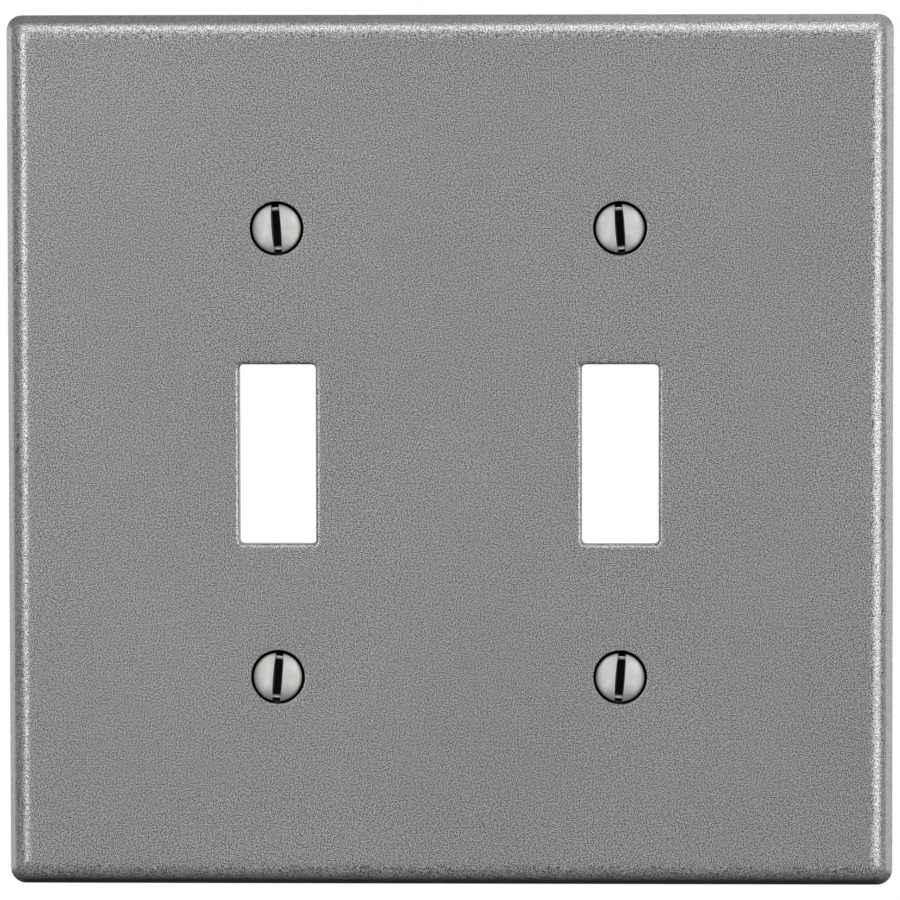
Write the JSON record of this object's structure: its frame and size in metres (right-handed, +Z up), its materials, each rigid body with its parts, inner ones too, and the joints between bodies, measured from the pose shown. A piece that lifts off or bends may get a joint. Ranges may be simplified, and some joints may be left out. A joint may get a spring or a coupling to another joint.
{
  "type": "toggle switch wall plate",
  "caption": "Wide wall plate for side-by-side toggle switches: flat face, rounded shoulders, rectangular openings and captive slotted oval-head screws that each turn.",
  "frame": {"origin": "centre of the four-screw pattern, on the wall plane that the rear rim rests on", "axes": "+Z up the wall, +X to the right as seen from the front, +Y into the wall, so the front face looks towards -Y"},
  "size_m": [0.1194, 0.0103, 0.1174],
  "materials": {
    "gray_plastic": "satin moulded plastic with a very fine grain",
    "screw_steel": "bright, lightly turned"
  },
  "bodies": {
    "plate": {"wall_plate": "gray_plastic"},
    "top_left_screw": {"screw_top_left": "screw_steel"},
    "top_right_screw": {"screw_top_right": "screw_steel"},
    "bottom_left_screw": {"screw_bottom_left": "screw_steel"},
    "bottom_right_screw": {"screw_bottom_right": "screw_steel"}
  },
  "joints": [
    {"name": "top_left_screw_turn", "type": "hinge", "parent": "plate", "child": "top_left_screw", "pos_m": [-0.02301, 0, 0.03017], "axis": [0, 1, 0], "continuous": true},
    {"name": "top_right_screw_turn", "type": "hinge", "parent": "plate", "child": "top_right_screw", "pos_m": [0.02301, 0, 0.03017], "axis": [0, 1, 0], "continuous": true},
    {"name": "bottom_left_screw_turn", "type": "hinge", "parent": "plate", "child": "bottom_left_screw", "pos_m": [-0.02301, 0, -0.03017], "axis": [0, 1, 0], "continuous": true},
    {"name": "bottom_right_screw_turn", "type": "hinge", "parent": "plate", "child": "bottom_right_screw", "pos_m": [0.02301, 0, -0.03017], "axis": [0, 1, 0], "continuous": true}
  ]
}
